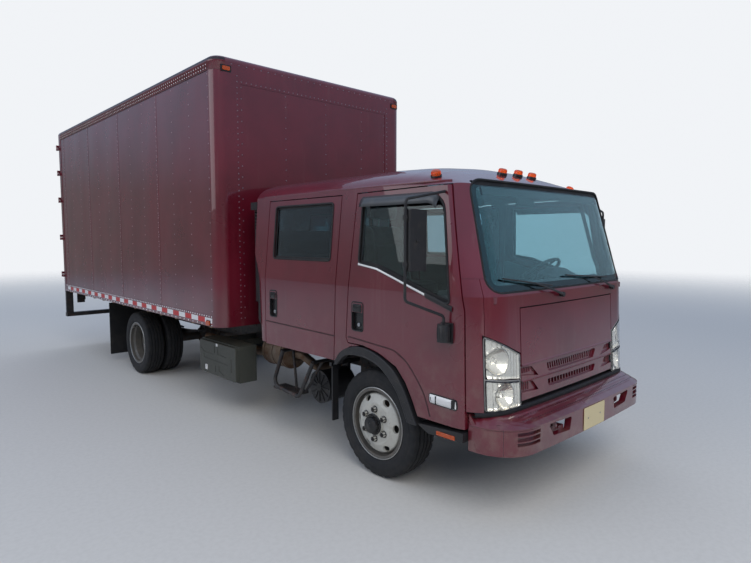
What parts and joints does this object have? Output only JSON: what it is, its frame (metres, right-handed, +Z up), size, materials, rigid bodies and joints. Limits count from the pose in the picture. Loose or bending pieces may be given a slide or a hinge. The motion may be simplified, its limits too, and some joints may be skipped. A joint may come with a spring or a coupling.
{
  "type": "crew-cab box truck",
  "caption": "Crew-cab box truck: four-door cab-over cab, ladder frame, twin rear wheels and a riveted van body with two swing doors at the rear.",
  "frame": {"origin": "on the ground, under the middle of the truck's length and width", "axes": "+Y rearwards (the front faces -Y), +X to the truck's left, +Z up"},
  "size_m": [2.618, 8.413, 3.4649],
  "materials": {
    "body_paint": "gloss burgundy enamel",
    "chassis_black": "satin black chassis paint",
    "driveline": "bare and painted iron with road film",
    "exhaust_steel": "heat-browned steel",
    "tyre": "worn black rubber",
    "wheel_paint": "cream painted steel",
    "glass": "clear",
    "lamp_clear": "clear lens over bright reflector",
    "lamp_colour": "amber lens",
    "black_plastic": "grained black moulding",
    "rubber": "matt black",
    "interior": "grey moulding",
    "seat_cloth": "grey woven cloth",
    "floor_board": "worn laminated boards"
  },
  "bodies": {
    "chassis": {"frame": "chassis_black", "leaf_springs": "chassis_black", "front_axle": "driveline", "rear_axle": "driveline", "driveshaft": "driveline", "engine": "driveline", "exhaust": "exhaust_steel", "fuel_tank": "chassis_black", "battery_box": "black_plastic", "air_intake": "black_plastic", "step_frames": "chassis_black", "cab_front": "body_paint", "cab_roof": "body_paint", "cab_back_wall": "body_paint", "cab_pillars": "body_paint", "cab_floor": "chassis_black", "windshield": "glass", "headlamps": "lamp_clear", "front_bumper": "body_paint", "cab_trim": "black_plastic", "dashboard": "interior", "seats": "seat_cloth", "box_floor": "floor_board", "box_sides": "body_paint", "box_front_wall": "body_paint", "box_roof": "body_paint", "box_rear_frame": "body_paint", "underride_guard": "chassis_black", "mud_flaps": "rubber", "lamps": "lamp_colour"},
    "left_knuckle_body": {"left_knuckle": "driveline"},
    "right_knuckle_body": {"right_knuckle": "driveline"},
    "tie_rod_body": {"tie_rod": "driveline"},
    "left_front_hub": {"left_front_wheel": "wheel_paint", "left_front_tyre": "tyre"},
    "right_front_hub": {"right_front_wheel": "wheel_paint", "right_front_tyre": "tyre"},
    "left_rear_hub": {"left_rear_wheels": "wheel_paint", "left_rear_tyres": "tyre"},
    "right_rear_hub": {"right_rear_wheels": "wheel_paint", "right_rear_tyres": "tyre"},
    "left_front_door_body": {"left_front_door": "body_paint", "left_front_glass": "glass", "left_mirror": "black_plastic"},
    "left_rear_door_body": {"left_rear_door": "body_paint", "left_rear_glass": "glass"},
    "left_cargo_door_body": {"left_cargo_door": "body_paint"},
    "right_front_door_body": {"right_front_door": "body_paint", "right_front_glass": "glass", "right_mirror": "black_plastic"},
    "right_rear_door_body": {"right_rear_door": "body_paint", "right_rear_glass": "glass"},
    "right_cargo_door_body": {"right_cargo_door": "body_paint"},
    "hood_body": {"hood": "body_paint"},
    "steering_wheel_body": {"steering_wheel": "interior"}
  },
  "joints": [
    {"name": "steer_left", "type": "hinge", "parent": "chassis", "child": "left_knuckle_body", "pos_m": [0.7, -2.9865, 0.4055], "axis": [0, 0, 1], "range_deg": [-36, 36]},
    {"name": "steer_right", "type": "hinge", "parent": "chassis", "child": "right_knuckle_body", "pos_m": [-0.7, -2.9865, 0.4055], "axis": [0, 0, 1], "range_deg": [-36, 36]},
    {"name": "tie_rod_pivot", "type": "hinge", "parent": "left_knuckle_body", "child": "tie_rod_body", "pos_m": [0.7, -2.8065, 0.284], "axis": [0, 0, 1], "range_deg": [-36, 36]},
    {"name": "steering_wheel_turn", "type": "hinge", "parent": "chassis", "child": "steering_wheel_body", "pos_m": [0.5, -3.4495, 1.477], "axis": [0, 0.6235, 0.7818], "range_deg": [-576, 576]},
    {"name": "left_front_roll", "type": "hinge", "parent": "left_knuckle_body", "child": "left_front_hub", "pos_m": [0.8325, -2.9865, 0.4055], "axis": [1, 0, 0], "continuous": true},
    {"name": "right_front_roll", "type": "hinge", "parent": "right_knuckle_body", "child": "right_front_hub", "pos_m": [-0.8325, -2.9865, 0.4055], "axis": [1, 0, 0], "continuous": true},
    {"name": "left_rear_roll", "type": "hinge", "parent": "chassis", "child": "left_rear_hub", "pos_m": [0.825, 1.4835, 0.4055], "axis": [1, 0, 0], "continuous": true},
    {"name": "right_rear_roll", "type": "hinge", "parent": "chassis", "child": "right_rear_hub", "pos_m": [-0.825, 1.4835, 0.4055], "axis": [1, 0, 0], "continuous": true},
    {"name": "left_front_door_swing", "type": "hinge", "parent": "chassis", "child": "left_front_door_body", "pos_m": [1.006, -3.8645, 1.3], "axis": [0, 0, -1], "range_deg": [0, 75]},
    {"name": "left_rear_door_swing", "type": "hinge", "parent": "chassis", "child": "left_rear_door_body", "pos_m": [1.01, -2.6605, 1.3], "axis": [0, 0, -1], "range_deg": [0, 70]},
    {"name": "left_cargo_door_swing", "type": "hinge", "parent": "chassis", "child": "left_cargo_door_body", "pos_m": [1.244, 4.1965, 2.2], "axis": [0, 0, -1], "range_deg": [0, 270]},
    {"name": "right_front_door_swing", "type": "hinge", "parent": "chassis", "child": "right_front_door_body", "pos_m": [-1.006, -3.8645, 1.3], "axis": [0, 0, 1], "range_deg": [0, 75]},
    {"name": "right_rear_door_swing", "type": "hinge", "parent": "chassis", "child": "right_rear_door_body", "pos_m": [-1.01, -2.6605, 1.3], "axis": [0, 0, 1], "range_deg": [0, 70]},
    {"name": "right_cargo_door_swing", "type": "hinge", "parent": "chassis", "child": "right_cargo_door_body", "pos_m": [-1.244, 4.1965, 2.2], "axis": [0, 0, 1], "range_deg": [0, 270]},
    {"name": "hood_lift", "type": "hinge", "parent": "chassis", "child": "hood_body", "pos_m": [0, -4.0235, 1.343], "axis": [-1, 0, 0], "range_deg": [0, 60]}
  ],
  "couplings": [
    {"joint": "steer_right", "follows": "steer_left", "ratio": 1},
    {"joint": "tie_rod_pivot", "follows": "steer_left", "ratio": -1},
    {"joint": "steering_wheel_turn", "follows": "steer_left", "ratio": 16}
  ]
}
